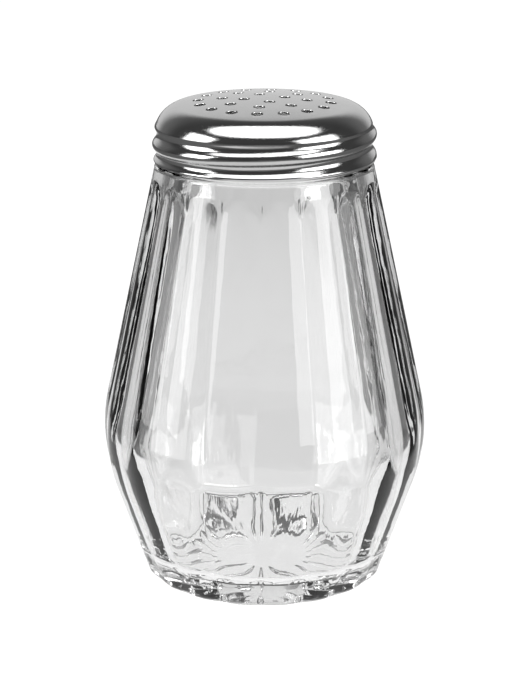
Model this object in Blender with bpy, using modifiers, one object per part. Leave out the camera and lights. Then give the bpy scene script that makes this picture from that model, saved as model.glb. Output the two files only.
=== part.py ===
"""Sugar duster: a fluted glass jar with a perforated, screw-on steel cap.

Two pieces. The jar is pressed glass. Its flutes start as arches below a plain collar, run over the
belly and round the heel, and go on under the foot as a star of rays. Its neck carries one turn of
moulded thread. The cap is thin sheet: a nearly flat crown with three rings of holes, a rounded
shoulder, and a skirt rolled to the same thread. Units are metres, +Z is up, and the origin is the
centre of the foot.
"""
import math

import bmesh
import bpy
from mathutils import Matrix, Vector

MM = 0.001

# Jar, outside: straight cones between corners, which are rounded afterwards
HEEL_CORNER_RADIUS = 31.6 * MM
HEEL_FILLET = 3.5 * MM
BELLY_CORNER_RADIUS = 44.6 * MM
BELLY_CORNER_HEIGHT = 37.4 * MM
BELLY_FILLET = 45.0 * MM
SHOULDER_HEIGHT = 112.0 * MM
SHOULDER_FILLET = 1.2 * MM
LEDGE_WIDTH = 2.0 * MM
NECK_FOOT_FILLET = 0.5 * MM
RIM_FILLET = 1.2 * MM

# Jar, inside
NECK_WALL = 3.1 * MM
THROAT_DROP = 5.0 * MM
THROAT_FILLET = 4.0 * MM
BODY_WALL = 3.2 * MM
SHOULDER_WALL = 2.4 * MM
INNER_BELLY_FILLET = 24.0 * MM
FLOOR_THICKNESS = 5.8 * MM
FLOOR_FILLET = 2.0 * MM

# Jar, flutes
FLUTE_COUNT = 18
FLUTE_SEGMENTS = 4
FLUTE_DEPTH = 0.9 * MM
FLUTE_HEEL_SHARE = 0.4
FLUTE_HEEL_HEIGHT = 42.0 * MM
FLUTE_ARCH_RISE = 2.6 * MM
FLUTE_ARCH_POWER = 4.0
FLUTE_RUNOUT = 5.0 * MM
FIRST_CREASE_ANGLE = math.radians(-92.0)
COLLAR_HEIGHT = 2.4 * MM

# Jar, star under the foot: a hollow with a scalloped edge, and a ray under each crease
STAR_DISC_RADIUS = 13.1 * MM
STAR_RECESS = 1.1 * MM
STAR_EDGE_INSET = 0.5 * MM
STAR_EDGE_WIDTH = 0.9 * MM
STAR_EDGE_SCALLOP = 5.0 * MM
STAR_RAY_RISE = 1.3 * MM
STAR_RAY_END = 1.2 * MM
FOOT_RING_WIDTH = 2.2 * MM

# Cap sheet
SHEET = 0.5 * MM
CAP_WALL_RADIUS = 28.5 * MM
SKIRT_HEIGHT = 6.8 * MM
CAP_RIM_FLARE = 0.3 * MM
CAP_FLARE_HEIGHT = 1.5 * MM
CAP_WAVE = 0.6 * MM
CAP_WAVE_FLANK = 0.6
CAP_WAVE_LEAD_IN = 1.0 * MM
CAP_WAVE_OVERRUN = 2.9 * MM
CAP_WAVE_RUNOUT = 2.0 * MM
CAP_SHOULDER_RADIUS = 7.5 * MM
CROWN_RADIUS = 150.0 * MM

# Thread, shared by the neck's bead and the skirt's roll; heights are above the cap's lower edge
THREAD_LEAD = 5.5 * MM
THREAD_FRONT_RISE = 5.4 * MM
FRONT_ANGLE = math.radians(-90)
BEAD_RADIUS = 1.5 * MM
BEAD_START_RISE = 1.0 * MM
BEAD_END_DROP = 0.2 * MM
BEAD_RUNOUT_ANGLE = math.radians(30)
BEAD_STEP_ANGLE = math.radians(10)
BEAD_TIP_SHARE = 0.2

# Clearances between cap and jar
LEDGE_CLEARANCE = 0.9 * MM
THREAD_CLEARANCE = 0.7 * MM
SEAT_GAP = 0.3 * MM

# Sifting holes; the rings' radii are shares of the cap's wall radius
HOLE_RADIUS = 1.5 * MM
INNER_RING_SHARE = 0.1895
MIDDLE_RING_SHARE = 0.386
OUTER_RING_SHARE = 0.6035
INNER_RING_COUNT = 4
MIDDLE_RING_COUNT = 8
OUTER_RING_COUNT = 16
INNER_RING_ANGLE = math.radians(-76)
MIDDLE_RING_ANGLE = math.radians(-97)
OUTER_RING_ANGLE = math.radians(-73.7)

# Sizes that follow from those above
FLUTE_TOP = SHOULDER_HEIGHT - COLLAR_HEIGHT
THROAT_HEIGHT = SHOULDER_HEIGHT - THROAT_DROP
NECK_RADIUS = CAP_WALL_RADIUS + CAP_WAVE - SHEET - THREAD_CLEARANCE - BEAD_RADIUS
SHOULDER_RADIUS = NECK_RADIUS + LEDGE_WIDTH
CAP_RIM_HEIGHT = SHOULDER_HEIGHT + LEDGE_CLEARANCE
CAP_SHOULDER_HEIGHT = CAP_RIM_HEIGHT + SKIRT_HEIGHT
CAP_WAVE_TOP = CAP_SHOULDER_HEIGHT + CAP_WAVE_OVERRUN
THREAD_FRONT_HEIGHT = CAP_RIM_HEIGHT + THREAD_FRONT_RISE
BEAD_START_HEIGHT = CAP_RIM_HEIGHT + BEAD_START_RISE
BEAD_END_HEIGHT = CAP_SHOULDER_HEIGHT - BEAD_END_DROP
INNER_RING_RADIUS = CAP_WALL_RADIUS * INNER_RING_SHARE
MIDDLE_RING_RADIUS = CAP_WALL_RADIUS * MIDDLE_RING_SHARE
OUTER_RING_RADIUS = CAP_WALL_RADIUS * OUTER_RING_SHARE

# Fineness of the meshes
CAP_STEPS = 60
HOLE_SIDES = 10
SKIRT_ROWS = 9
SHOULDER_ROWS = 5
SHARP_ANGLE = math.radians(40)
CUT_OVERRUN = 2.0 * MM
MERGE_DISTANCE = 0.001 * MM

# Materials: colour, roughness, metallic, transmission, refractive index
GLASS = ("clear_glass", (0.93, 0.94, 0.94), 0.03, 0.0, 1.0, 1.52)
STEEL = ("polished_steel", (0.60, 0.60, 0.60), 0.16, 1.0, 0.0, 2.5)


def clear_scene():
    """Removes what a new file starts with."""
    for item in list(bpy.data.objects):
        bpy.data.objects.remove(item, do_unlink=True)


def new_collection(name):
    """A collection linked to the scene."""
    collection = bpy.data.collections.new(name)
    bpy.context.scene.collection.children.link(collection)
    return collection


def new_material(name, colour, roughness, metallic, transmission, index):
    """A plain Principled material."""
    material = bpy.data.materials.new(name)
    material.use_nodes = True
    shader = material.node_tree.nodes["Principled BSDF"]
    shader.inputs["Base Color"].default_value = (*colour, 1.0)
    shader.inputs["Roughness"].default_value = roughness
    shader.inputs["Metallic"].default_value = metallic
    shader.inputs["Transmission Weight"].default_value = transmission
    shader.inputs["IOR"].default_value = index
    return material


def object_from_bmesh(name, bm, collection, material=None, base=0.0):
    """Turns a bmesh into a named object that stands at height base."""
    bmesh.ops.translate(bm, verts=bm.verts, vec=(0, 0, -base))
    mesh = bpy.data.meshes.new(name)
    bm.to_mesh(mesh)
    bm.free()
    item = bpy.data.objects.new(name, mesh)
    item.location.z = base
    collection.objects.link(item)
    if material:
        mesh.materials.append(material)
    return item


def add_boolean(item, operation, other):
    """Cuts or joins another mesh object, which then only shows as a wire."""
    modifier = item.modifiers.new(other.name, "BOOLEAN")
    modifier.operation = operation
    modifier.object = other
    other.hide_render = True
    other.display_type = "WIRE"


def smooth_step(value):
    """0 below 0, 1 above 1, eased between."""
    t = min(max(value, 0.0), 1.0)
    return t * t * (3.0 - 2.0 * t)


def arc(centre, radius, start, end, steps):
    """Points of an arc from the angle start to the angle end, both included."""
    angles = [start + (end - start) * k / steps for k in range(steps + 1)]
    return [centre + radius * Vector((math.cos(a), math.sin(a))) for a in angles]


def rounded(before, corner, after, fillet, steps):
    """The arc that rounds the corner of an outline with a fillet."""
    back = (before - corner).normalized()
    ahead = (after - corner).normalized()
    half = back.angle(ahead) / 2
    reach = fillet / math.tan(half)
    centre = corner + (back + ahead).normalized() * (fillet / math.sin(half))
    first = corner + back * reach - centre
    last = corner + ahead * reach - centre
    start = math.atan2(first.y, first.x)
    turn = math.remainder(math.atan2(last.y, last.x) - start, math.tau)
    return arc(centre, fillet, start, start + turn, steps)


def outline(corners):
    """Points of an outline whose corners are (point, fillet, steps); a fillet of zero stays sharp."""
    points = []
    for i, (corner, fillet, steps) in enumerate(corners):
        if fillet:
            points += rounded(corners[i - 1][0], corner, corners[i + 1][0], fillet, steps)
        else:
            points.append(corner)
    return points


def on_line(first, last, height):
    """The point of a straight line at a height."""
    return first.lerp(last, (height - first.y) / (last.y - first.y))


def inward(first, last, distance):
    """A straight line moved towards the axis, square to itself."""
    along = (last - first).normalized()
    shift = Vector((-along.y, along.x)) * distance
    return first + shift, last + shift


def crossing(line, other):
    """The point where two straight lines cross."""
    a, b = line[0], line[1] - line[0]
    c, d = other[0], other[1] - other[0]
    return a + b * ((c - a).cross(d) / b.cross(d))


def turn_about_axis(bm, points, steps, start):
    """Turns an outline once about the Z axis from a start angle and returns the skin's vertices."""
    before = set(bm.verts)
    cos, sin = math.cos(start), math.sin(start)
    verts = [bm.verts.new((p.x * cos, p.x * sin, p.y)) for p in points]
    edges = [bm.edges.new(pair) for pair in zip(verts, verts[1:])]
    bmesh.ops.spin(bm, geom=verts + edges, cent=(0, 0, 0), axis=(0, 0, 1),
                   angle=math.tau, steps=steps, use_merge=True)
    return [v for v in bm.verts if v not in before]


def closed(bm):
    """Merges what meets at the axis and at a rim, and turns the faces outwards."""
    bmesh.ops.remove_doubles(bm, verts=bm.verts, dist=MERGE_DISTANCE)
    bmesh.ops.recalc_face_normals(bm, faces=bm.faces)
    return bm


def polar(vert):
    """Radius and angle of a vertex about the Z axis."""
    return math.hypot(vert.co.x, vert.co.y), math.atan2(vert.co.y, vert.co.x)


def set_radius(vert, radius, angle):
    """Moves a vertex to a radius about the Z axis."""
    vert.co.x = radius * math.cos(angle)
    vert.co.y = radius * math.sin(angle)


def ridge_height(angle):
    """Height of the thread at an angle: it climbs one lead in a turn anticlockwise from above."""
    return THREAD_FRONT_HEIGHT + THREAD_LEAD * (angle - FRONT_ANGLE) / math.tau


def rim_height():
    """Top of the jar: its rounded edge lies one seat gap inside the cap's rounded shoulder."""
    across = (NECK_RADIUS - RIM_FILLET) - (CAP_WALL_RADIUS - CAP_SHOULDER_RADIUS)
    apart = (CAP_SHOULDER_RADIUS - SHEET) - RIM_FILLET - SEAT_GAP
    return CAP_SHOULDER_HEIGHT + math.sqrt(apart ** 2 - across ** 2) + RIM_FILLET


def outer_skin():
    """The jar's outline from the centre of its underside to the middle of its rim."""
    heel = Vector((HEEL_CORNER_RADIUS, 0))
    belly = Vector((BELLY_CORNER_RADIUS, BELLY_CORNER_HEIGHT))
    shoulder = Vector((SHOULDER_RADIUS, SHOULDER_HEIGHT))
    neck = Vector((NECK_RADIUS, SHOULDER_HEIGHT))
    rim = Vector((NECK_RADIUS, rim_height()))
    lip = Vector((NECK_RADIUS - NECK_WALL / 2, rim_height()))
    foot = rounded(Vector((0, 0)), heel, belly, HEEL_FILLET, 1)[0]
    ring = foot.x - FOOT_RING_WIDTH
    edge = ring - STAR_EDGE_INSET
    under = [0, STAR_DISC_RADIUS, STAR_DISC_RADIUS + STAR_RAY_END, edge - STAR_EDGE_WIDTH, edge, ring]
    arches = sorted([FLUTE_TOP - FLUTE_ARCH_RISE - FLUTE_RUNOUT, FLUTE_TOP - FLUTE_RUNOUT,
                     FLUTE_TOP - FLUTE_ARCH_RISE, FLUTE_TOP])
    corners = [
        *[(Vector((radius, 0)), 0, 0) for radius in under],
        (heel, HEEL_FILLET, 3),
        (belly, BELLY_FILLET, 6),
        *[(on_line(belly, shoulder, z), 0, 0) for z in arches],
        (shoulder, SHOULDER_FILLET, 2),
        (neck, NECK_FOOT_FILLET, 1),
        (rim, RIM_FILLET, 3),
        (lip, 0, 0),
    ]
    return outline(corners), ring


def inner_skin():
    """The jar's outline from the middle of its rim, down the bore and wall, to the floor's centre."""
    heel = Vector((HEEL_CORNER_RADIUS, 0))
    belly = Vector((BELLY_CORNER_RADIUS, BELLY_CORNER_HEIGHT))
    shoulder = Vector((SHOULDER_RADIUS, SHOULDER_HEIGHT))
    flank = inward(heel, belly, BODY_WALL)
    cone = (inward(belly, shoulder, BODY_WALL)[0], inward(belly, shoulder, SHOULDER_WALL)[1])
    bore = NECK_RADIUS - NECK_WALL
    corners = [
        (Vector((NECK_RADIUS - NECK_WALL / 2, rim_height())), 0, 0),
        (Vector((bore, rim_height())), RIM_FILLET, 3),
        (Vector((bore, SHOULDER_HEIGHT)), THROAT_FILLET, 2),
        (on_line(*cone, THROAT_HEIGHT), THROAT_FILLET, 2),
        (crossing(flank, cone), INNER_BELLY_FILLET, 5),
        (on_line(*flank, FLOOR_THICKNESS), FLOOR_FILLET, 3),
        (Vector((0, FLOOR_THICKNESS)), 0, 0),
    ]
    return outline(corners)


def crease_share(angle):
    """1 in the crease between two flutes, 0 on the crest of a flute."""
    return 1.0 - abs(math.sin(FLUTE_COUNT / 2 * (angle - FIRST_CREASE_ANGLE)))


def flute_depth(angle, height):
    """How deep the skin is drawn in: creases that are shallow at the heel and end under an arch."""
    share = crease_share(angle)
    across = 1.0 - math.asin(1.0 - share) / (math.pi / 2)
    drop = 1.0 - (1.0 - across ** FLUTE_ARCH_POWER) ** (1.0 / FLUTE_ARCH_POWER)
    arch = FLUTE_TOP - FLUTE_ARCH_RISE * drop
    grown = FLUTE_HEEL_SHARE + (1.0 - FLUTE_HEEL_SHARE) * smooth_step(height / FLUTE_HEEL_HEIGHT)
    return FLUTE_DEPTH * share * grown * smooth_step((arch - height) / FLUTE_RUNOUT)


def shape_star(vert, radius, angle, ring_radius):
    """Raises a vertex of the underside into the hollow or a ray, and scallops the hollow's edge."""
    if radius < ring_radius - STAR_EDGE_INSET - MERGE_DISTANCE:
        vert.co.z += STAR_RECESS
        if radius > STAR_DISC_RADIUS + MERGE_DISTANCE:
            vert.co.z += STAR_RAY_RISE * crease_share(angle) ** 2
    if radius > ring_radius - STAR_EDGE_INSET - STAR_EDGE_WIDTH - MERGE_DISTANCE:
        across = math.acos(math.cos(FLUTE_COUNT * (angle - FIRST_CREASE_ANGLE))) / math.pi
        set_radius(vert, radius - STAR_EDGE_SCALLOP * (1.0 - math.sqrt(1.0 - across ** 2)), angle)


def shape_flutes(verts, ring_radius):
    """Presses the flutes into the outer skin and the star into the underside."""
    for vert in verts:
        radius, angle = polar(vert)
        under_foot = vert.co.z < SHOULDER_HEIGHT and radius < ring_radius + MERGE_DISTANCE
        if not under_foot:
            set_radius(vert, radius - flute_depth(angle, vert.co.z), angle)
        elif radius < ring_radius - MERGE_DISTANCE:
            shape_star(vert, radius, angle, ring_radius)


def thread_bead(collection):
    """The moulded thread: a round bead along the helix, half sunk in the neck, tapered at its ends."""
    start = FRONT_ANGLE + math.tau * (BEAD_START_HEIGHT - THREAD_FRONT_HEIGHT) / THREAD_LEAD
    length = math.tau * (BEAD_END_HEIGHT - BEAD_START_HEIGHT) / THREAD_LEAD
    steps = round(length / BEAD_STEP_ANGLE)
    curve = bpy.data.curves.new("thread_bead", "CURVE")
    curve.dimensions = "3D"
    curve.bevel_depth = BEAD_RADIUS
    curve.bevel_resolution = 2
    curve.use_fill_caps = True
    spline = curve.splines.new("POLY")
    spline.points.add(steps)
    for k, point in enumerate(spline.points):
        angle = start + length * k / steps
        from_end = min(k, steps - k) * length / steps
        share = BEAD_TIP_SHARE + (1 - BEAD_TIP_SHARE) * smooth_step(from_end / BEAD_RUNOUT_ANGLE)
        radius = NECK_RADIUS - BEAD_RADIUS * BEAD_TIP_SHARE * (1 - share)
        point.co = (radius * math.cos(angle), radius * math.sin(angle), ridge_height(angle), 1)
        point.radius = share
    tube = bpy.data.objects.new("thread_bead_path", curve)
    collection.objects.link(tube)
    evaluated = tube.evaluated_get(bpy.context.evaluated_depsgraph_get())
    bm = bmesh.new()
    bm.from_mesh(bpy.data.meshes.new_from_object(evaluated))
    bpy.data.objects.remove(tube, do_unlink=True)
    return object_from_bmesh("thread_bead", closed(bm), collection)


def build_jar(parts, tools):
    """The glass jar: a fluted outer skin, a smooth inside and the thread on its neck."""
    bm = bmesh.new()
    steps = FLUTE_COUNT * FLUTE_SEGMENTS
    skin, ring_radius = outer_skin()
    shape_flutes(turn_about_axis(bm, skin, steps, FIRST_CREASE_ANGLE), ring_radius)
    turn_about_axis(bm, inner_skin(), steps, FIRST_CREASE_ANGLE)
    jar = object_from_bmesh("glass_jar", closed(bm), parts, new_material(*GLASS))
    add_boolean(jar, "UNION", thread_bead(tools))
    return jar


def sheet_outline():
    """Outer outline of the cap's sheet, from its flared lower edge to the middle of the crown."""
    points = []
    for k in range(SKIRT_ROWS):
        height = CAP_RIM_HEIGHT + (CAP_SHOULDER_HEIGHT - CAP_RIM_HEIGHT) * k / SKIRT_ROWS
        flare = CAP_RIM_FLARE * (1.0 - smooth_step((height - CAP_RIM_HEIGHT) / CAP_FLARE_HEIGHT))
        points.append(Vector((CAP_WALL_RADIUS + flare, height)))
    shoulder = Vector((CAP_WALL_RADIUS - CAP_SHOULDER_RADIUS, CAP_SHOULDER_HEIGHT))
    tilt = math.acos(shoulder.x / (CROWN_RADIUS - CAP_SHOULDER_RADIUS))
    points += arc(shoulder, CAP_SHOULDER_RADIUS, 0, tilt, SHOULDER_ROWS)
    crown = shoulder.y - (CROWN_RADIUS - CAP_SHOULDER_RADIUS) * math.sin(tilt)
    between_rings = ((OUTER_RING_RADIUS + MIDDLE_RING_RADIUS) / 2,
                     (MIDDLE_RING_RADIUS + INNER_RING_RADIUS) / 2, 0)
    points += [Vector((r, crown + math.sqrt(CROWN_RADIUS ** 2 - r ** 2))) for r in between_rings]
    return points


def roll_thread(verts):
    """Rolls the helical wave into the skirt: a ridge over the jar's bead, a groove below it."""
    for vert in verts:
        radius, angle = polar(vert)
        rise = smooth_step((vert.co.z - CAP_RIM_HEIGHT) / CAP_WAVE_LEAD_IN)
        fade = smooth_step((CAP_WAVE_TOP - vert.co.z) / CAP_WAVE_RUNOUT)
        phase = math.tau * (vert.co.z - ridge_height(angle)) / THREAD_LEAD
        wave = math.tanh(CAP_WAVE_FLANK * math.cos(phase)) / math.tanh(CAP_WAVE_FLANK)
        set_radius(vert, radius + CAP_WAVE * rise * fade * wave, angle)


def sifting_holes(collection):
    """Punches for the three rings of holes, as one cutter."""
    rings = ((INNER_RING_RADIUS, INNER_RING_COUNT, INNER_RING_ANGLE),
             (MIDDLE_RING_RADIUS, MIDDLE_RING_COUNT, MIDDLE_RING_ANGLE),
             (OUTER_RING_RADIUS, OUTER_RING_COUNT, OUTER_RING_ANGLE))
    low = CAP_SHOULDER_HEIGHT
    high = sheet_outline()[-1].y + CUT_OVERRUN
    bm = bmesh.new()
    for ring_radius, count, first in rings:
        for k in range(count):
            angle = first + math.tau * k / count
            place = Vector((ring_radius * math.cos(angle), ring_radius * math.sin(angle),
                            (low + high) / 2))
            bmesh.ops.create_cone(bm, cap_ends=True, segments=HOLE_SIDES, radius1=HOLE_RADIUS,
                                  radius2=HOLE_RADIUS, depth=high - low,
                                  matrix=Matrix.Translation(place))
    return object_from_bmesh("sifting_holes", bm, collection)


def build_cap(parts, tools):
    """The steel cap: one turned and rolled sheet of even thickness with its holes punched."""
    bm = bmesh.new()
    roll_thread(turn_about_axis(bm, sheet_outline(), CAP_STEPS, FRONT_ANGLE))
    cap = object_from_bmesh("perforated_cap", closed(bm), parts, new_material(*STEEL),
                            CAP_RIM_HEIGHT)
    shell = cap.modifiers.new("sheet", "SOLIDIFY")
    shell.thickness = SHEET
    shell.offset = -1
    shell.use_even_offset = True
    add_boolean(cap, "DIFFERENCE", sifting_holes(tools))
    return cap


def shade(item):
    """Smooth shading with sharp edges kept."""
    item.data.shade_smooth()
    item.data.set_sharp_from_angle(angle=SHARP_ANGLE)


def main():
    """Builds both pieces."""
    clear_scene()
    parts = new_collection("sugar_duster")
    tools = new_collection("sugar_duster_cutters")
    for piece in (build_jar(parts, tools), build_cap(parts, tools)):
        shade(piece)


main()
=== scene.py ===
"""Looks of the sugar duster: the glass jar and the steel cap in fine meshes, on a plain pale floor.

The file is laid out as an add-on and run as a script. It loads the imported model, makes one piece for
each of the two parts, and sets up a plain studio. Units are metres, +Z is up, and the origin is the
centre of the jar's foot.
"""

import math

import bmesh
import bpy
from bpy.props import FloatProperty, FloatVectorProperty, IntProperty, PointerProperty
from mathutils import Euler, Matrix, Vector


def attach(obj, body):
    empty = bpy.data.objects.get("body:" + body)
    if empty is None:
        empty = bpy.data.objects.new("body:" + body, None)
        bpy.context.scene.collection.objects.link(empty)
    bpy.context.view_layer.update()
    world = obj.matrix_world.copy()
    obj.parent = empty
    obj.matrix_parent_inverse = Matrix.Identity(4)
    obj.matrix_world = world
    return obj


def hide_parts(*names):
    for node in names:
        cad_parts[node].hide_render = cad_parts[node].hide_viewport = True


bl_info = {
    "name": "Sugar Duster",
    "version": (1, 0, 0),
    "blender": (4, 5, 0),
    "location": "3D View > Sidebar > Sugar Duster",
    "description": "Makes a fluted glass sugar duster with a perforated steel screw cap",
    "category": "Add Mesh",
}

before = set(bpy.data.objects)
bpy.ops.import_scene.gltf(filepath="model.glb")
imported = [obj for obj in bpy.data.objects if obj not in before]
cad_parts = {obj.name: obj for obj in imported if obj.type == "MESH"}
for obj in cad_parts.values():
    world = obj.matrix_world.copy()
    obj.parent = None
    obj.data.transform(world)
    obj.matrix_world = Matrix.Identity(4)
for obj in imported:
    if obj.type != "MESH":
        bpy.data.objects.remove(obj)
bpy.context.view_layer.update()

MM = 0.001
FRONT_ANGLE = math.radians(-90)
MERGE_DISTANCE = 0.001 * MM

# Jar, outside
HEEL_CORNER = Vector((31.6, 0)) * MM
BELLY_CORNER = Vector((44.6, 37.4)) * MM
SHOULDER_CORNER = Vector((28.4, 112.0)) * MM
HEEL_FILLET = 3.5 * MM
BELLY_FILLET = 45.0 * MM
SHOULDER_FILLET = 1.2 * MM
NECK_RADIUS = 26.4 * MM
NECK_FOOT_FILLET = 0.5 * MM
RIM_HEIGHT = 124.45 * MM
RIM_FILLET = 1.2 * MM

# Jar, inside
NECK_WALL = 3.1 * MM
THROAT_HEIGHT = 107.0 * MM
THROAT_FILLET = 4.0 * MM
BODY_WALL = 6.3 * MM
SHOULDER_WALL = 4.4 * MM
INNER_BELLY_FILLET = 18.0 * MM
FLOOR_THICKNESS = 5.8 * MM
FLOOR_FILLET = 7.0 * MM
INNER_RIB_RUNOUT = 12.0 * MM

# Jar, flutes and the star under the foot
FLUTE_TOP = 109.6 * MM
FLUTE_ARCH_RISE = 2.6 * MM
FLUTE_ARCH_POWER = 4.0
FLUTE_RUNOUT = 5.0 * MM
FLUTE_HEEL_SHARE = 0.5
FLUTE_HEEL_HEIGHT = 60.0 * MM
CREASE_SOFTNESS = 0.05
HEEL_SOFTNESS = 1.5
FIRST_CREASE_ANGLE = math.radians(-92.0)
STAR_DISC_RADIUS = 13.1 * MM
STAR_RECESS = 1.1 * MM
STAR_EDGE_INSET = 0.5 * MM
STAR_EDGE_SCALLOP = 5.0 * MM
STAR_EDGE_WIDTH = 0.9 * MM
STAR_RAY_RISE = 1.6 * MM
STAR_RAY_HALF_ANGLE = math.radians(2.1)
STAR_RAY_FLANK_ANGLE = math.radians(1.4)
STAR_RAY_END = 0.8 * MM
FOOT_RING_WIDTH = 2.2 * MM

# Thread
THREAD_LEAD = 5.5 * MM
THREAD_FRONT_HEIGHT = 118.3 * MM
BEAD_RISE = 1.5 * MM
BEAD_HALF_WIDTH = 1.5 * MM
BEAD_START_HEIGHT = 113.9 * MM
BEAD_END_HEIGHT = 119.5 * MM
BEAD_RUNOUT_ANGLE = math.radians(30)

# Cap
SHEET = 0.5 * MM
CAP_RIM_HEIGHT = 112.9 * MM
CAP_WALL_RADIUS = 28.5 * MM
CAP_RIM_FLARE = 0.3 * MM
CAP_FLARE_HEIGHT = 1.5 * MM
CAP_WAVE = 0.6 * MM
CAP_WAVE_FLANK = 0.6
CAP_WAVE_LEAD_IN = 1.0 * MM
CAP_WAVE_TOP = 122.6 * MM
CAP_WAVE_RUNOUT = 2.0 * MM
CAP_SHOULDER_HEIGHT = 119.7 * MM
CAP_SHOULDER_RADIUS = 7.5 * MM
CROWN_RADIUS = 150.0 * MM
HOLE_EDGE = 0.16 * MM
HOLE_REACH = 2.0 * MM
HOLE_RINGS = ((5.4 * MM, 4, math.radians(-76)),
              (11.0 * MM, 8, math.radians(-97)),
              (17.2 * MM, 16, math.radians(-73.7)))

# Fineness of the meshes: longest steps along the jar's outlines, and rows and sides of the cap
DISC_STEP = 4.0 * MM
STAR_STEP = 0.4 * MM
NECK_STEP = 0.55 * MM
ARCH_STEP = 0.5 * MM
BODY_STEP = 3.0 * MM
LINING_STEP = 5.0 * MM
SKIRT_ROWS = 44
CAP_SHOULDER_ROWS = 20
CROWN_ROWS = 12
PUNCH_SIDES = 24
PUNCH_EDGE_ROWS = 4
SHARP_ANGLE = math.radians(40)

# Studio: lengths in metres, softboxes as name, azimuths, elevations, distance and share of the glow
TABLE_RADIUS = 3.0
TABLE_LEFT_END = (-0.155, -0.13)
TABLE_RIGHT_END = (0.105, 0.13)
TABLE_END_SHARE = 0.08
TABLE_FRONT = (-0.32, -0.16)
TABLE_FRONT_SHARE = 0.12
TABLE_FAR = (0.18, 0.5)
TABLE_FAR_SHARE = 0.78
ROOM_GLOW = 0.06
BACKDROP_SEEN_BY_CAMERA = 1.02
LIGHT_AIM_HEIGHT = 80.0 * MM
SOFTBOXES = (("left_softbox", (-92, -60), (-6, 37), 1.4, 1),
             ("right_softbox", (37, 83), (-6, 38), 1.4, 1),
             ("left_softbox_middle", (-80, -63), (14, 34), 1.35, 3),
             ("right_softbox_middle", (48, 68), (14, 34), 1.35, 3))
TOP_LIGHT_SIZE = (2.36, 1.45)
TOP_LIGHT_PLACE = (0, -0.325, 1.5)
CAMERA_LENS = 115.05
CAMERA_SENSOR = 36.0
CAMERA_PLACE = (-0.0005, -0.570, 0.2344)
CAMERA_LOOKS_DOWN = 16.94


def smooth_step(value):
    """0 below 0, 1 above 1, eased between."""
    t = min(max(value, 0.0), 1.0)
    return t * t * (3.0 - 2.0 * t)


def arc(centre, radius, start, end, steps):
    """Points of an arc from the angle start to the angle end, both included."""
    angles = [start + (end - start) * k / steps for k in range(steps + 1)]
    return [centre + radius * Vector((math.cos(a), math.sin(a))) for a in angles]


def rounded(before, corner, after, fillet, steps):
    """The arc that rounds the corner of an outline with a fillet."""
    back = (before - corner).normalized()
    ahead = (after - corner).normalized()
    half = back.angle(ahead) / 2
    reach = fillet / math.tan(half)
    centre = corner + (back + ahead).normalized() * (fillet / math.sin(half))
    first = corner + back * reach - centre
    last = corner + ahead * reach - centre
    start = math.atan2(first.y, first.x)
    turn = math.remainder(math.atan2(last.y, last.x) - start, math.tau)
    return arc(centre, fillet, start, start + turn, steps)


def outline(corners):
    """Points of an outline whose corners are (point, fillet, steps); a fillet of zero stays sharp."""
    points = []
    for i, (corner, fillet, steps) in enumerate(corners):
        if fillet:
            points += rounded(corners[i - 1][0], corner, corners[i + 1][0], fillet, steps)
        else:
            points.append(corner)
    return points


def filled(points, longest):
    """The same outline with extra points, so that no step is longer than a length."""
    made = [points[0]]
    for last, point in zip(points, points[1:]):
        count = max(1, math.ceil((point - last).length / longest(last, point)))
        made += [last.lerp(point, k / count) for k in range(1, count + 1)]
    return made


def on_line(first, last, height):
    """The point of a straight line at a height."""
    return first.lerp(last, (height - first.y) / (last.y - first.y))


def inward(first, last, distance):
    """A straight line moved towards the axis, square to itself."""
    along = (last - first).normalized()
    shift = Vector((-along.y, along.x)) * distance
    return first + shift, last + shift


def crossing(line, other):
    """The point where two straight lines cross."""
    a, b = line[0], line[1] - line[0]
    c, d = other[0], other[1] - other[0]
    return a + b * ((c - a).cross(d) / b.cross(d))


def turn_about_axis(bm, points, steps, start):
    """Turns an outline once about the Z axis from a start angle and returns the skin's vertices."""
    before = set(bm.verts)
    cos, sin = math.cos(start), math.sin(start)
    verts = [bm.verts.new((p.x * cos, p.x * sin, p.y)) for p in points]
    edges = [bm.edges.new(pair) for pair in zip(verts, verts[1:])]
    bmesh.ops.spin(bm, geom=verts + edges, cent=(0, 0, 0), axis=(0, 0, 1),
                   angle=math.tau, steps=steps, use_merge=True)
    return [v for v in bm.verts if v not in before]


def closed(bm):
    """Merges what meets at the axis and at a rim, and turns the faces outwards."""
    bmesh.ops.remove_doubles(bm, verts=bm.verts, dist=MERGE_DISTANCE)
    bmesh.ops.recalc_face_normals(bm, faces=bm.faces)
    return bm


def polar(vert):
    """Radius and angle of a vertex about the Z axis."""
    return math.hypot(vert.co.x, vert.co.y), math.atan2(vert.co.y, vert.co.x)


def set_radius(vert, radius, angle):
    """Moves a vertex to a radius about the Z axis."""
    vert.co.x = radius * math.cos(angle)
    vert.co.y = radius * math.sin(angle)


def ridge_height(angle):
    """Height of the thread at an angle: it climbs one lead in a turn anticlockwise from above."""
    return THREAD_FRONT_HEIGHT + THREAD_LEAD * (angle - FRONT_ANGLE) / math.tau


def piece_from_bmesh(name, bm, body, node, material):
    """Makes a smooth-shaded piece that rides on a body and stands for a node of the model."""
    mesh = bpy.data.meshes.new(name)
    bm.to_mesh(mesh)
    bm.free()
    mesh.shade_smooth()
    mesh.materials.append(material)
    piece = bpy.data.objects.new(name, mesh)
    bpy.context.scene.collection.objects.link(piece)
    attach(piece, body)
    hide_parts(node)
    return piece


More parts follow.
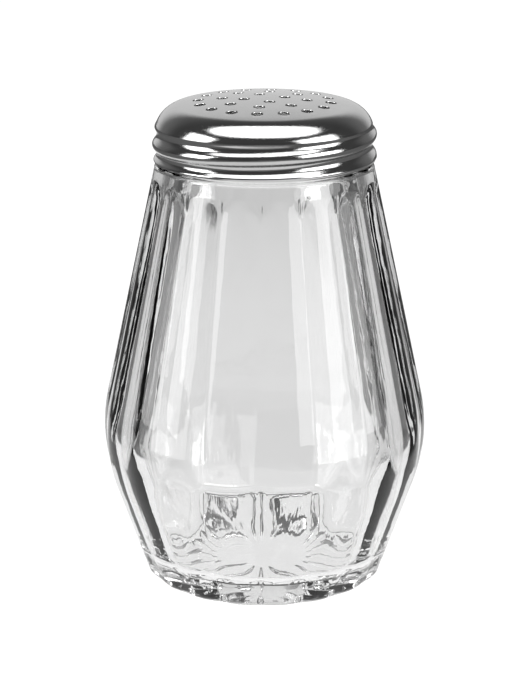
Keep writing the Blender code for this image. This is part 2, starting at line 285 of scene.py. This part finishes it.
def outer_corners():
    """The jar's outline from the centre of its underside to the middle of its rim."""
    neck = Vector((NECK_RADIUS, SHOULDER_CORNER.y))
    rim = Vector((NECK_RADIUS, RIM_HEIGHT))
    lip = Vector((NECK_RADIUS - NECK_WALL / 2, RIM_HEIGHT))
    foot = rounded(Vector((0, 0)), HEEL_CORNER, BELLY_CORNER, HEEL_FILLET, 1)[0]
    ring = Vector((foot.x - FOOT_RING_WIDTH, 0))
    return outline([
        (Vector((0, 0)), 0, 0),
        (Vector((STAR_DISC_RADIUS, 0)), 0, 0),
        (ring, 0, 0),
        (HEEL_CORNER, HEEL_FILLET, 10),
        (BELLY_CORNER, BELLY_FILLET, 16),
        (on_line(BELLY_CORNER, SHOULDER_CORNER, FLUTE_TOP - FLUTE_ARCH_RISE - FLUTE_RUNOUT), 0, 0),
        (on_line(BELLY_CORNER, SHOULDER_CORNER, FLUTE_TOP), 0, 0),
        (SHOULDER_CORNER, SHOULDER_FILLET, 6),
        (neck, NECK_FOOT_FILLET, 3),
        (rim, RIM_FILLET, 8),
        (lip, 0, 0),
    ]), ring.x


def outer_step(low, high):
    """Longest step along the outer outline: fine where the arches and the thread are."""
    if high.y <= 0 and high.x < HEEL_CORNER.x - HEEL_FILLET:
        return STAR_STEP if low.x >= STAR_DISC_RADIUS else DISC_STEP
    if low.y > SHOULDER_CORNER.y:
        return NECK_STEP
    if low.y > FLUTE_TOP - FLUTE_ARCH_RISE - FLUTE_RUNOUT - MERGE_DISTANCE:
        return ARCH_STEP
    return BODY_STEP


def inner_points():
    """The jar's outline from the middle of its rim, down the bore and wall, to the floor's centre."""
    flank = inward(HEEL_CORNER, BELLY_CORNER, BODY_WALL)
    cone = (inward(BELLY_CORNER, SHOULDER_CORNER, BODY_WALL)[0],
            inward(BELLY_CORNER, SHOULDER_CORNER, SHOULDER_WALL)[1])
    bore = NECK_RADIUS - NECK_WALL
    return outline([
        (Vector((NECK_RADIUS - NECK_WALL / 2, RIM_HEIGHT)), 0, 0),
        (Vector((bore, RIM_HEIGHT)), RIM_FILLET, 6),
        (Vector((bore, SHOULDER_CORNER.y)), THROAT_FILLET, 5),
        (on_line(*cone, THROAT_HEIGHT), THROAT_FILLET, 5),
        (crossing(flank, cone), INNER_BELLY_FILLET, 12),
        (on_line(*flank, FLOOR_THICKNESS), FLOOR_FILLET, 10),
        (Vector((0, FLOOR_THICKNESS)), 0, 0),
    ])


def crease_share(angle, count, softness):
    """1 in the crease between two flutes, 0 on the crest; softness rounds the crease itself."""
    across = math.hypot(math.sin(count / 2 * (angle - FIRST_CREASE_ANGLE)), softness)
    crest = math.hypot(1.0, softness)
    return (crest - across) / (crest - softness)


def ray_share(angle, count):
    """1 in the bottom of a ray of the star, 0 beside it; a ray lies under each crease."""
    pitch = math.tau / count
    apart = abs(math.remainder(angle - FIRST_CREASE_ANGLE, pitch))
    return smooth_step((STAR_RAY_HALF_ANGLE - apart) / STAR_RAY_FLANK_ANGLE + 0.5)


def flute_depth(angle, height, count, depth):
    """How deep the skin is drawn in: creases that fade out under a round arch."""
    rise = smooth_step(height / FLUTE_HEEL_HEIGHT)
    share = crease_share(angle, count, CREASE_SOFTNESS + HEEL_SOFTNESS * (1.0 - rise))
    across = 1.0 - math.asin(1.0 - share) / (math.pi / 2)
    drop = 1.0 - (1.0 - across ** FLUTE_ARCH_POWER) ** (1.0 / FLUTE_ARCH_POWER)
    arch = FLUTE_TOP - FLUTE_ARCH_RISE * drop
    low = FLUTE_HEEL_SHARE + (1.0 - FLUTE_HEEL_SHARE) * rise
    return depth * share * low * smooth_step((arch - height) / FLUTE_RUNOUT)


def bead_rise(angle, height):
    """How far the moulded thread stands out of the neck."""
    start = FRONT_ANGLE + math.tau * (BEAD_START_HEIGHT - THREAD_FRONT_HEIGHT) / THREAD_LEAD
    end = FRONT_ANGLE + math.tau * (BEAD_END_HEIGHT - THREAD_FRONT_HEIGHT) / THREAD_LEAD
    best = 0.0
    for turn in (-2, -1, 0, 1):
        along = angle + turn * math.tau
        if start < along < end:
            apart = abs(height - ridge_height(along))
            fade = smooth_step(min(along - start, end - along) / BEAD_RUNOUT_ANGLE)
            bump = 0.5 + 0.5 * math.cos(math.pi * min(apart / BEAD_HALF_WIDTH, 1.0))
            best = max(best, BEAD_RISE * fade * bump)
    return best


def shape_outside(verts, ring_radius, count, depth):
    """Presses the flutes and the rays of the star into the skin, and raises the thread."""
    for vert in verts:
        radius, angle = polar(vert)
        if vert.co.z > SHOULDER_CORNER.y + MERGE_DISTANCE:
            if radius > NECK_RADIUS - MERGE_DISTANCE:
                set_radius(vert, radius + bead_rise(angle, vert.co.z), angle)
        elif radius > ring_radius + MERGE_DISTANCE:
            set_radius(vert, radius - flute_depth(angle, vert.co.z, count, depth), angle)
        else:
            apart = math.remainder(angle - FIRST_CREASE_ANGLE, math.tau / count) * count / math.pi
            edge = (ring_radius - STAR_EDGE_INSET
                    - STAR_EDGE_SCALLOP * (1.0 - math.sqrt(1.0 - min(apart * apart, 1.0))))
            from_end = min(radius - STAR_DISC_RADIUS, ring_radius - radius)
            rise = STAR_RAY_RISE * ray_share(angle, count)
            vert.co.z += (STAR_RECESS * smooth_step((edge - radius) / STAR_EDGE_WIDTH)
                          + rise * smooth_step(from_end / STAR_RAY_END))


def new_material(name):
    """A node material with its Principled shader."""
    material = bpy.data.materials.new(name)
    material.use_nodes = True
    nodes = material.node_tree.nodes
    return material, nodes, material.node_tree.links, nodes["Principled BSDF"]


def noise(nodes, links, coordinates, scale, detail, roughness=0.5):
    """A noise texture on the given coordinates."""
    texture = nodes.new("ShaderNodeTexNoise")
    texture.inputs["Scale"].default_value = scale
    texture.inputs["Detail"].default_value = detail
    texture.inputs["Roughness"].default_value = roughness
    links.new(coordinates, texture.inputs["Vector"])
    return texture.outputs["Fac"]


def mapped(nodes, links, value, low, high):
    """A 0-to-1 value mapped to the range from low to high."""
    node = nodes.new("ShaderNodeMapRange")
    links.new(value, node.inputs["Value"])
    node.inputs["To Min"].default_value = low
    node.inputs["To Max"].default_value = high
    return node.outputs["Result"]


def bump(nodes, links, height, distance, strength, normal=None):
    """A bump node on a height between 0 and 1."""
    node = nodes.new("ShaderNodeBump")
    node.inputs["Strength"].default_value = strength
    node.inputs["Distance"].default_value = distance
    links.new(height, node.inputs["Height"])
    if normal:
        links.new(normal, node.inputs["Normal"])
    return node.outputs["Normal"]


def glass_material(tint, waviness):
    """Clear pressed glass: a faint tint, mould waves, and a fire-polished skin that lets lamps through."""
    material, nodes, links, shader = new_material("clear_pressed_glass")
    place = nodes.new("ShaderNodeTexCoord").outputs["Object"]
    shader.inputs["Transmission Weight"].default_value = 1.0
    shader.inputs["IOR"].default_value = 1.52
    colour = nodes.new("ShaderNodeMix")
    colour.data_type = "RGBA"
    links.new(noise(nodes, links, place, 22.0, 2.0), colour.inputs["Factor"])
    colour.inputs["A"].default_value = (*[part * 0.98 for part in tint], 1)
    colour.inputs["B"].default_value = (*tint, 1)
    links.new(colour.outputs["Result"], shader.inputs["Base Color"])
    polish = noise(nodes, links, place, 300.0, 3.0)
    links.new(mapped(nodes, links, polish, 0.0, 0.02), shader.inputs["Roughness"])
    drawn = nodes.new("ShaderNodeMapping")
    drawn.inputs["Scale"].default_value = (1.0, 1.0, 0.1)
    links.new(place, drawn.inputs["Vector"])
    cords = noise(nodes, links, drawn.outputs["Vector"], 420.0, 2.0)
    waves = noise(nodes, links, place, 90.0, 1.0)
    rippled = bump(nodes, links, waves, waviness, 1.0)
    links.new(bump(nodes, links, cords, waviness, 0.6, rippled), shader.inputs["Normal"])
    clear = nodes.new("ShaderNodeBsdfTransparent")
    path = nodes.new("ShaderNodeLightPath")
    mix = nodes.new("ShaderNodeMixShader")
    links.new(path.outputs["Is Shadow Ray"], mix.inputs["Fac"])
    links.new(shader.outputs["BSDF"], mix.inputs[1])
    links.new(clear.outputs["BSDF"], mix.inputs[2])
    links.new(mix.outputs["Shader"], nodes["Material Output"].inputs["Surface"])
    clear.inputs["Color"].default_value = (0.95, 0.95, 0.95, 1)
    return material


def steel_material(colour, roughness):
    """Thin stainless sheet, polished to a soft mirror with a fine spun grain."""
    material, nodes, links, shader = new_material("soft_mirror_steel")
    place = nodes.new("ShaderNodeTexCoord").outputs["Object"]
    shader.inputs["Metallic"].default_value = 1.0
    mottle = noise(nodes, links, place, 120.0, 4.0, 0.6)
    tone = nodes.new("ShaderNodeMix")
    tone.data_type = "RGBA"
    links.new(mottle, tone.inputs["Factor"])
    tone.inputs["A"].default_value = (*[c * 0.84 for c in colour], 1)
    tone.inputs["B"].default_value = (*[min(1.0, c * 1.05) for c in colour], 1)
    links.new(tone.outputs["Result"], shader.inputs["Base Color"])
    grain = noise(nodes, links, place, 2500.0, 4.0, 0.7)
    links.new(mapped(nodes, links, grain, roughness * 0.7, roughness * 1.3),
              shader.inputs["Roughness"])
    links.new(bump(nodes, links, grain, 0.02 * MM, 0.8), shader.inputs["Normal"])
    return material


def shape_inside(verts, count, rib):
    """Lets the inner skin follow the flutes a little, away from the throat and the floor."""
    for vert in verts:
        radius, angle = polar(vert)
        if radius > MERGE_DISTANCE:
            low = smooth_step((vert.co.z - FLOOR_THICKNESS - FLOOR_FILLET) / INNER_RIB_RUNOUT)
            high = smooth_step((THROAT_HEIGHT - vert.co.z) / INNER_RIB_RUNOUT)
            wave = 0.5 - 0.5 * math.cos(count * (angle - FIRST_CREASE_ANGLE))
            set_radius(vert, radius - rib * (1.0 - wave) * low * high, angle)


class JarSettings(bpy.types.PropertyGroup):
    """Sizes and finish of the glass jar."""

    flute_count: IntProperty(
        name="Flutes", description="How many flutes run round the jar",
        default=18, min=3, max=48)
    flute_depth: FloatProperty(
        name="Flute depth", description="How deep the crease between two flutes is",
        default=0.9 * MM, min=0.0, max=3.0 * MM, unit="LENGTH", precision=4)
    flute_segments: IntProperty(
        name="Steps in a flute", description="Faces across one flute", default=24, min=4, max=40)
    inner_rib: FloatProperty(
        name="Inner rib", description="How far the inner skin follows the creases",
        default=0.25 * MM, min=0.0, max=1.0 * MM, unit="LENGTH", precision=5)
    tint: FloatVectorProperty(
        name="Glass tint", description="What one wall of the glass lets through",
        default=(0.93, 0.93, 0.93), min=0.0, max=1.0, subtype="COLOR")
    waviness: FloatProperty(
        name="Mould waves", description="Height of the faint waves that the mould leaves",
        default=0.05 * MM, min=0.0, max=1.0 * MM, unit="LENGTH", precision=5)


class CapSettings(bpy.types.PropertyGroup):
    """Sizes and finish of the steel cap."""

    steps: IntProperty(
        name="Steps round the cap", description="Faces round the cap", default=216, min=24, max=360)
    hole_radius: FloatProperty(
        name="Hole radius", description="Radius of a sifting hole",
        default=1.5 * MM, min=0.2 * MM, max=3.0 * MM, unit="LENGTH", precision=4)
    colour: FloatVectorProperty(
        name="Steel colour", description="Colour that the steel mirrors at right angles",
        default=(0.62, 0.62, 0.62), min=0.0, max=1.0, subtype="COLOR")
    roughness: FloatProperty(
        name="Steel roughness", description="0 is a mirror, 1 is matt",
        default=0.10, min=0.0, max=1.0, subtype="FACTOR")


class StageSettings(bpy.types.PropertyGroup):
    """The studio round the duster."""

    table_glow: FloatProperty(
        name="Table glow", description="Brightness of the lit table top, as glass and steel see it",
        default=0.82, min=0.0, max=10.0)
    backdrop_glow: FloatProperty(
        name="Backdrop glow", description="Brightness of the middle of the backdrop",
        default=0.66, min=0.0, max=10.0)
    softbox_glow: FloatProperty(
        name="Softbox glow", description="Brightness of the two large upright softboxes",
        default=3.0, min=0.0, max=50.0)
    top_glow: FloatProperty(
        name="Top light glow", description="Brightness of the wide light overhead",
        default=2.0, min=0.0, max=50.0)


class DUSTER_OT_jar(bpy.types.Operator):
    """Makes the fluted glass jar with its star foot and its thread."""

    bl_idname = "duster.jar"
    bl_label = "Glass Jar"

    def execute(self, context):
        settings = context.scene.duster_jar
        steps = settings.flute_count * settings.flute_segments
        bm = bmesh.new()
        corners, ring_radius = outer_corners()
        skin = turn_about_axis(bm, filled(corners, outer_step), steps, FIRST_CREASE_ANGLE)
        shape_outside(skin, ring_radius, settings.flute_count, settings.flute_depth)
        lining = turn_about_axis(bm, filled(inner_points(), lambda a, b: LINING_STEP), steps,
                                 FIRST_CREASE_ANGLE)
        shape_inside(lining, settings.flute_count, settings.inner_rib)
        material = glass_material(settings.tint, settings.waviness)
        piece_from_bmesh("fluted_jar", closed(bm), "jar", "glass_jar", material)
        return {"FINISHED"}


class DUSTER_OT_cap(bpy.types.Operator):
    """Makes the rolled steel cap and punches its holes."""

    bl_idname = "duster.cap"
    bl_label = "Perforated Cap"

    def execute(self, context):
        settings = context.scene.duster_cap
        bm = bmesh.new()
        points = []
        for k in range(SKIRT_ROWS):
            height = CAP_RIM_HEIGHT + (CAP_SHOULDER_HEIGHT - CAP_RIM_HEIGHT) * k / SKIRT_ROWS
            flare = CAP_RIM_FLARE * (1.0 - smooth_step((height - CAP_RIM_HEIGHT)
                                                       / CAP_FLARE_HEIGHT))
            points.append(Vector((CAP_WALL_RADIUS + flare, height)))
        shoulder = Vector((CAP_WALL_RADIUS - CAP_SHOULDER_RADIUS, CAP_SHOULDER_HEIGHT))
        tilt = math.acos(shoulder.x / (CROWN_RADIUS - CAP_SHOULDER_RADIUS))
        points += arc(shoulder, CAP_SHOULDER_RADIUS, 0, tilt, CAP_SHOULDER_ROWS)
        crown = shoulder.y - (CROWN_RADIUS - CAP_SHOULDER_RADIUS) * math.sin(tilt)
        edge = points[-1].x
        for k in range(1, CROWN_ROWS + 1):
            across = edge * (1 - k / CROWN_ROWS)
            points.append(Vector((across, crown + math.sqrt(CROWN_RADIUS ** 2 - across ** 2))))
        skin = turn_about_axis(bm, points, settings.steps, FRONT_ANGLE)
        for vert in skin:
            radius, angle = polar(vert)
            rise = smooth_step((vert.co.z - CAP_RIM_HEIGHT) / CAP_WAVE_LEAD_IN)
            fade = smooth_step((CAP_WAVE_TOP - vert.co.z) / CAP_WAVE_RUNOUT)
            phase = math.tau * (vert.co.z - ridge_height(angle)) / THREAD_LEAD
            wave = math.tanh(CAP_WAVE_FLANK * math.cos(phase)) / math.tanh(CAP_WAVE_FLANK)
            set_radius(vert, radius + CAP_WAVE * rise * fade * wave, angle)
        material = steel_material(settings.colour, settings.roughness)
        piece = piece_from_bmesh("perforated_steel_cap", closed(bm), "cap", "perforated_cap",
                                 material)
        shell = piece.modifiers.new("sheet", "SOLIDIFY")
        shell.thickness = SHEET
        shell.offset = -1
        shell.use_even_offset = True
        cutter = bmesh.new()
        punch = [Vector((0, -HOLE_REACH)), Vector((settings.hole_radius, -HOLE_REACH)),
                 *arc(Vector((settings.hole_radius + HOLE_EDGE, -HOLE_EDGE)), HOLE_EDGE,
                      math.pi, math.pi / 2, PUNCH_EDGE_ROWS),
                 Vector((settings.hole_radius + HOLE_EDGE, HOLE_REACH)), Vector((0, HOLE_REACH))]
        for ring_radius, count, first in HOLE_RINGS:
            lean = math.asin(ring_radius / CROWN_RADIUS)
            for k in range(count):
                angle = first + math.tau * k / count
                place = Vector((ring_radius * math.cos(angle), ring_radius * math.sin(angle),
                                crown + CROWN_RADIUS * math.cos(lean)))
                skin = turn_about_axis(cutter, punch, PUNCH_SIDES, 0)
                bmesh.ops.transform(cutter, verts=skin,
                                    matrix=(Matrix.Translation(place) @ Matrix.Rotation(angle, 4, "Z")
                                            @ Matrix.Rotation(lean, 4, "Y")))
        closed(cutter)
        mesh = bpy.data.meshes.new("punches")
        cutter.to_mesh(mesh)
        cutter.free()
        punches = bpy.data.objects.new("punches", mesh)
        context.scene.collection.objects.link(punches)
        cut = piece.modifiers.new("holes", "BOOLEAN")
        cut.operation = "DIFFERENCE"
        cut.object = punches
        depsgraph = context.evaluated_depsgraph_get()
        finished = bpy.data.meshes.new_from_object(piece.evaluated_get(depsgraph))
        piece.modifiers.clear()
        piece.data = finished
        finished.shade_smooth()
        finished.set_sharp_from_angle(angle=SHARP_ANGLE)
        bpy.data.objects.remove(punches, do_unlink=True)
        return {"FINISHED"}


def linked(nodes, links, kind, inputs, **settings):
    """A node of a kind whose numbered inputs are values or other nodes' outputs."""
    node = nodes.new(kind)
    for name, value in settings.items():
        setattr(node, name, value)
    for place, value in inputs.items():
        if isinstance(value, bpy.types.NodeSocket):
            links.new(value, node.inputs[place])
        else:
            node.inputs[place].default_value = value
    return node.outputs[0]


def graded(nodes, links, value, low, high, at_low, at_high):
    """A value that eases from at_low, below low, to at_high, above high."""
    return linked(nodes, links, "ShaderNodeMapRange",
                  {"Value": value, "From Min": low, "From Max": high, "To Min": at_low,
                   "To Max": at_high}, interpolation_type="SMOOTHSTEP")


def product(nodes, links, first, *others):
    """The product of several values."""
    for value in others:
        first = linked(nodes, links, "ShaderNodeMath", {0: first, 1: value}, operation="MULTIPLY")
    return first


def lamp(name, width, height, glow):
    """An area light of a given brightness, which the camera itself doesn't see."""
    data = bpy.data.lights.new(name, "AREA")
    data.shape = "RECTANGLE"
    data.size = width
    data.size_y = height
    data.energy = glow * math.pi * width * height
    light = bpy.data.objects.new(name, data)
    light.visible_camera = False
    bpy.context.scene.collection.objects.link(light)
    return light


def softbox(name, azimuths, elevations, distance, glow):
    """An upright light that spans two angles each way as the duster sees it; 0 is the camera's side."""
    azimuth, elevation = (math.radians(sum(pair) / 2) for pair in (azimuths, elevations))
    across, up = (math.radians(pair[1] - pair[0]) / 2 for pair in (azimuths, elevations))
    light = lamp(name, 2 * distance * math.tan(across) * math.cos(elevation),
                 2 * distance * math.tan(up), glow)
    back = Vector((math.sin(azimuth) * math.cos(elevation),
                   -math.cos(azimuth) * math.cos(elevation), math.sin(elevation)))
    light.location = Vector((0, 0, LIGHT_AIM_HEIGHT)) + back * distance
    light.rotation_euler = (-back).to_track_quat("-Z", "Y").to_euler()
    light.visible_diffuse = False
    return light


def camera_sees(nodes, links, value, camera_value):
    """One value for the camera's own rays and another for all the rest."""
    path = nodes.new("ShaderNodeLightPath")
    return linked(nodes, links, "ShaderNodeMix",
                  {"Factor": path.outputs["Is Camera Ray"], "A": value, "B": camera_value},
                  data_type="FLOAT")


def table_material(glow):
    """A lit white table top: a bright strip behind the jar, with dark ends and a darker front."""
    material, nodes, links, shader = new_material("lit_table")
    shader.inputs["Base Color"].default_value = (0.12, 0.12, 0.12, 1)
    shader.inputs["Roughness"].default_value = 0.9
    shader.inputs["Specular IOR Level"].default_value = 0.1
    shader.inputs["Emission Color"].default_value = (1, 1, 1, 1)
    place = linked(nodes, links, "ShaderNodeSeparateXYZ",
                   {"Vector": nodes.new("ShaderNodeTexCoord").outputs["Object"]}).node.outputs
    left = graded(nodes, links, place["X"], *TABLE_LEFT_END, TABLE_END_SHARE, 1.0)
    right = graded(nodes, links, place["X"], *TABLE_RIGHT_END, 1.0, TABLE_END_SHARE)
    strip = linked(nodes, links, "ShaderNodeMath", {0: left, 1: right}, operation="MINIMUM")
    front = graded(nodes, links, place["Y"], *TABLE_FRONT, TABLE_FRONT_SHARE, 1.0)
    far = graded(nodes, links, place["Y"], *TABLE_FAR, 1.0, TABLE_FAR_SHARE)
    mirrored = nodes.new("ShaderNodeLightPath").outputs["Is Reflection Ray"]
    near = linked(nodes, links, "ShaderNodeMix", {"Factor": mirrored, "A": 1.0, "B": front},
                  data_type="FLOAT")
    seen = product(nodes, links, strip, near, far, glow)
    links.new(camera_sees(nodes, links, seen, 1.0), shader.inputs["Emission Strength"])
    return material


def studio_world(glow):
    """Dim surroundings with a pale backdrop behind the duster."""
    world = bpy.data.worlds.new("studio")
    world.use_nodes = True
    nodes, links = world.node_tree.nodes, world.node_tree.links
    direction = nodes.new("ShaderNodeTexCoord").outputs["Generated"]
    way = linked(nodes, links, "ShaderNodeSeparateXYZ", {"Vector": direction}).node.outputs
    middle = graded(nodes, links, way["Y"], 0.70, 0.93, 0.18, 1.0)
    side = graded(nodes, links, way["Y"], 0.3, 0.7, 0.0, 1.0)
    high = graded(nodes, links, way["Z"], 0.36, 0.85, 1.0, 0.15)
    backdrop = product(nodes, links, middle, side, high, glow)
    seen = linked(nodes, links, "ShaderNodeMath", {0: backdrop, 1: ROOM_GLOW}, operation="ADD")
    strength = camera_sees(nodes, links, seen, BACKDROP_SEEN_BY_CAMERA)
    links.new(strength, nodes["Background"].inputs["Strength"])
    nodes["Background"].inputs["Color"].default_value = (1, 1, 1, 1)
    return world


class DUSTER_OT_stage(bpy.types.Operator):
    """Makes the table, the lights, the surroundings and the camera."""

    bl_idname = "duster.stage"
    bl_label = "Studio"

    def execute(self, context):
        settings = context.scene.duster_stage
        bm = bmesh.new()
        bmesh.ops.create_circle(bm, cap_ends=True, segments=96, radius=TABLE_RADIUS)
        mesh = bpy.data.meshes.new("table")
        bm.to_mesh(mesh)
        bm.free()
        table = bpy.data.objects.new("table", mesh)
        context.scene.collection.objects.link(table)
        mesh.materials.append(table_material(settings.table_glow))

        for name, azimuths, elevations, distance, share in SOFTBOXES:
            softbox(name, azimuths, elevations, distance, share * settings.softbox_glow)
        top = lamp("top_light", *TOP_LIGHT_SIZE, settings.top_glow)
        top.data.shape = "ELLIPSE"
        top.location = TOP_LIGHT_PLACE

        context.scene.world = studio_world(settings.backdrop_glow)

        data = bpy.data.cameras.new("camera")
        data.lens = CAMERA_LENS
        data.sensor_width = CAMERA_SENSOR
        camera = bpy.data.objects.new("camera", data)
        camera.location = CAMERA_PLACE
        camera.rotation_euler = Euler((math.radians(90 - CAMERA_LOOKS_DOWN), 0, 0))
        context.scene.collection.objects.link(camera)
        context.scene.camera = camera
        context.scene.view_settings.view_transform = "Standard"
        return {"FINISHED"}


class DUSTER_PT_panel(bpy.types.Panel):
    """Lists the pieces and their settings."""

    bl_idname = "DUSTER_PT_panel"
    bl_label = "Sugar Duster"
    bl_space_type = "VIEW_3D"
    bl_region_type = "UI"
    bl_category = "Sugar Duster"

    def draw(self, context):
        for operator, settings in (("duster.jar", context.scene.duster_jar),
                                   ("duster.cap", context.scene.duster_cap),
                                   ("duster.stage", context.scene.duster_stage)):
            box = self.layout.box()
            box.operator(operator)
            for name in settings.__annotations__:
                box.prop(settings, name)


CLASSES = (JarSettings, CapSettings, StageSettings, DUSTER_OT_jar, DUSTER_OT_cap,
           DUSTER_OT_stage, DUSTER_PT_panel)


def register():
    """Registers the settings, the operators and the panel."""
    for item in CLASSES:
        bpy.utils.register_class(item)
    bpy.types.Scene.duster_jar = PointerProperty(type=JarSettings)
    bpy.types.Scene.duster_cap = PointerProperty(type=CapSettings)
    bpy.types.Scene.duster_stage = PointerProperty(type=StageSettings)


def unregister():
    """Takes the settings, the operators and the panel away."""
    del bpy.types.Scene.duster_stage
    del bpy.types.Scene.duster_cap
    del bpy.types.Scene.duster_jar
    for item in reversed(CLASSES):
        bpy.utils.unregister_class(item)


def main():
    """Makes everything."""
    register()
    bpy.ops.duster.jar()
    bpy.ops.duster.cap()
    bpy.ops.duster.stage()


if __name__ == "__main__":
    main()
